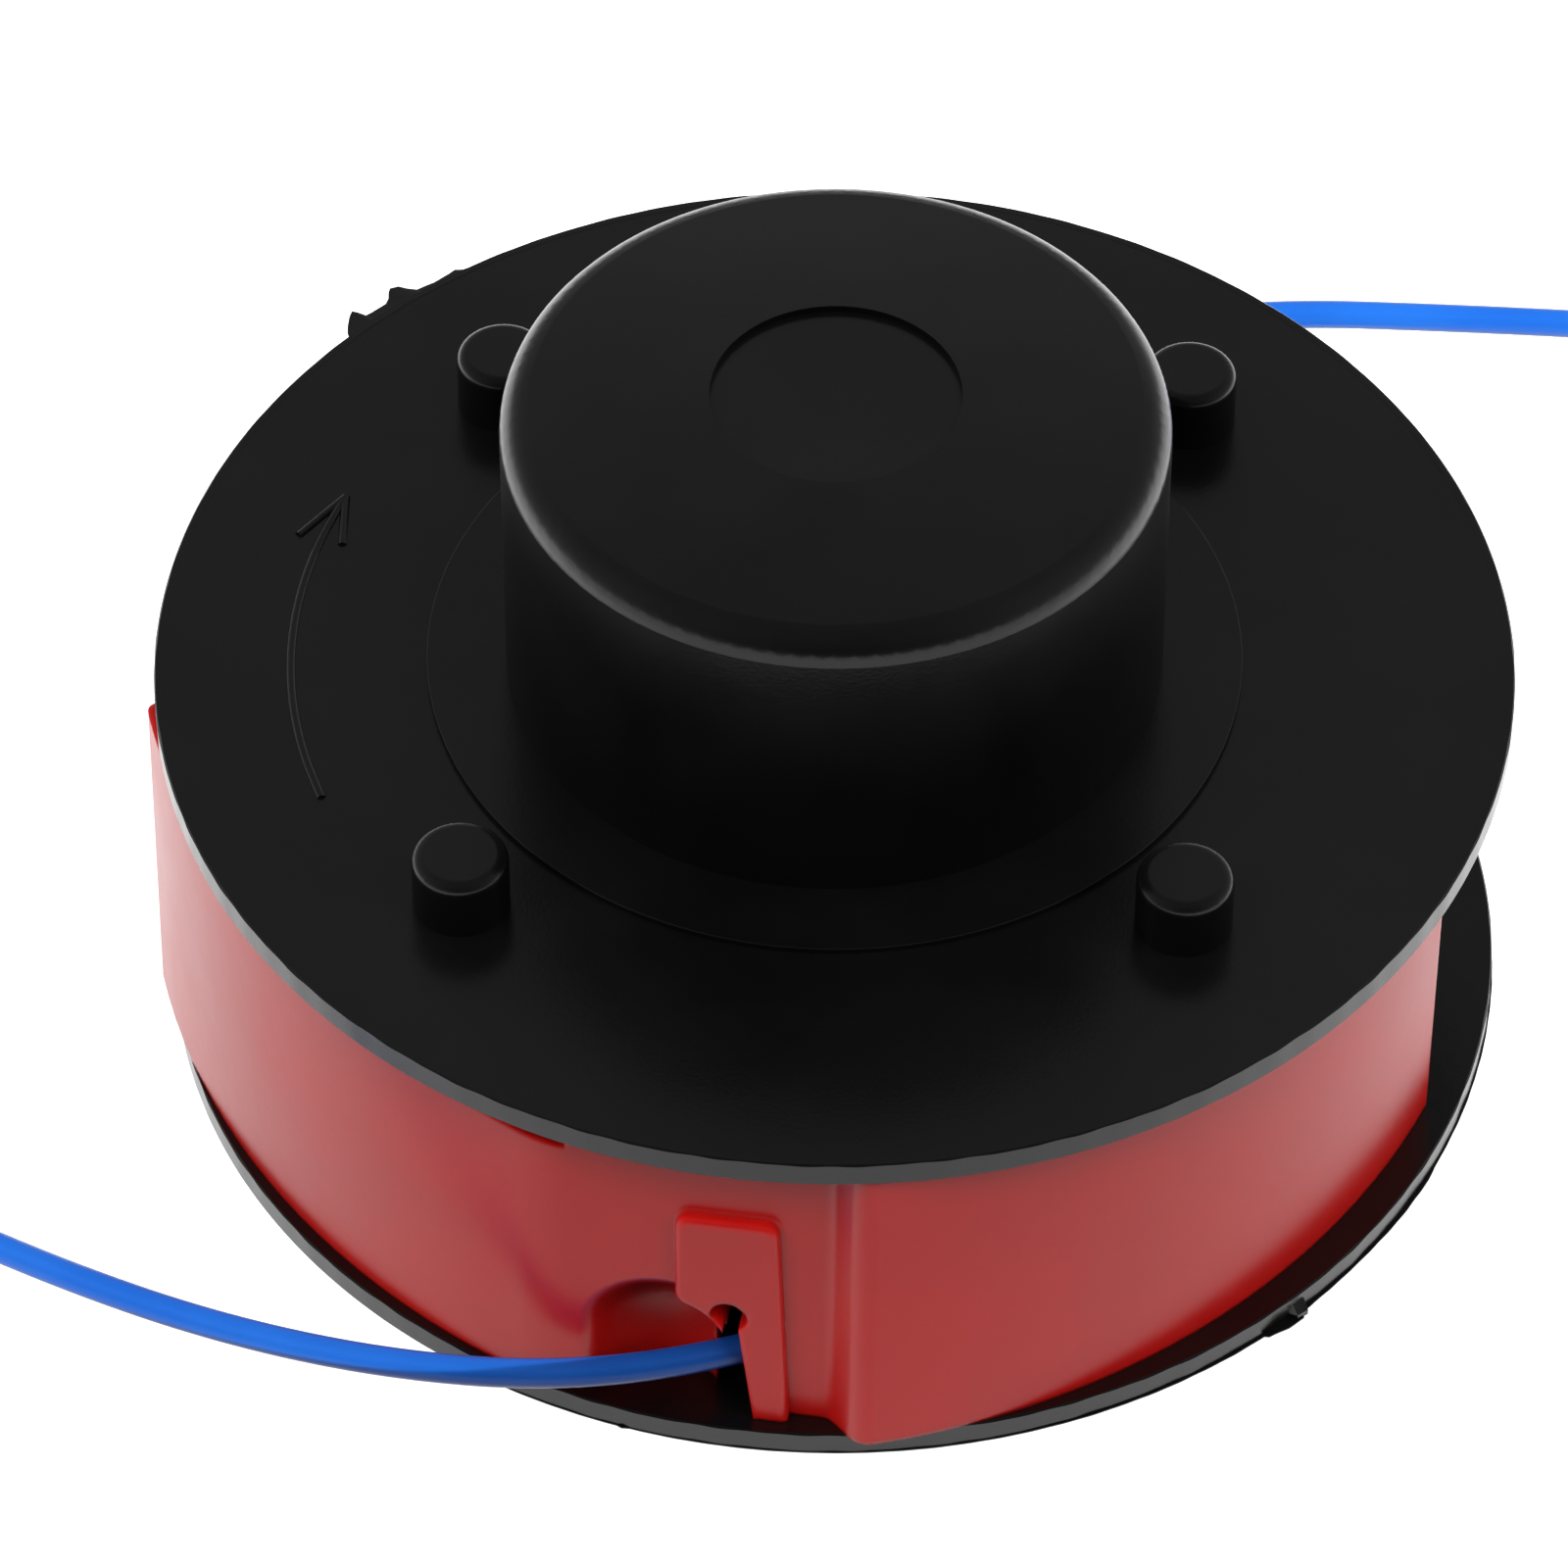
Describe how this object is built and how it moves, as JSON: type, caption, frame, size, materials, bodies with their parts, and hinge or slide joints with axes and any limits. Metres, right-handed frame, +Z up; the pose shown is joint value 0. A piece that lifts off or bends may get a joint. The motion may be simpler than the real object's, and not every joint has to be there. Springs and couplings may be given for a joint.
{
  "type": "trimmer line spool",
  "caption": "Round two-flange spool with a closed knob and drive pegs, wound with trimmer line whose free ends leave through the gap, one of them held by a clip-in line keeper.",
  "frame": {"origin": "on the spool's axis, at the mouth of the hub socket in the underside of the lower flange", "axes": "+Z up along the spool's axis towards the knob, -Y towards the keeper's hook notch"},
  "size_m": [0.098, 0.0646, 0.0372],
  "materials": {
    "spool_plastic": "satin moulded black",
    "keeper_plastic": "semi-gloss moulded red",
    "line_nylon": "smooth extruded blue nylon"
  },
  "bodies": {
    "root": {"spool": "spool_plastic", "line_keeper": "keeper_plastic", "lower_winding": "line_nylon", "upper_winding": "line_nylon", "front_line_end": "line_nylon", "rear_line_end": "line_nylon"}
  },
  "joints": []
}
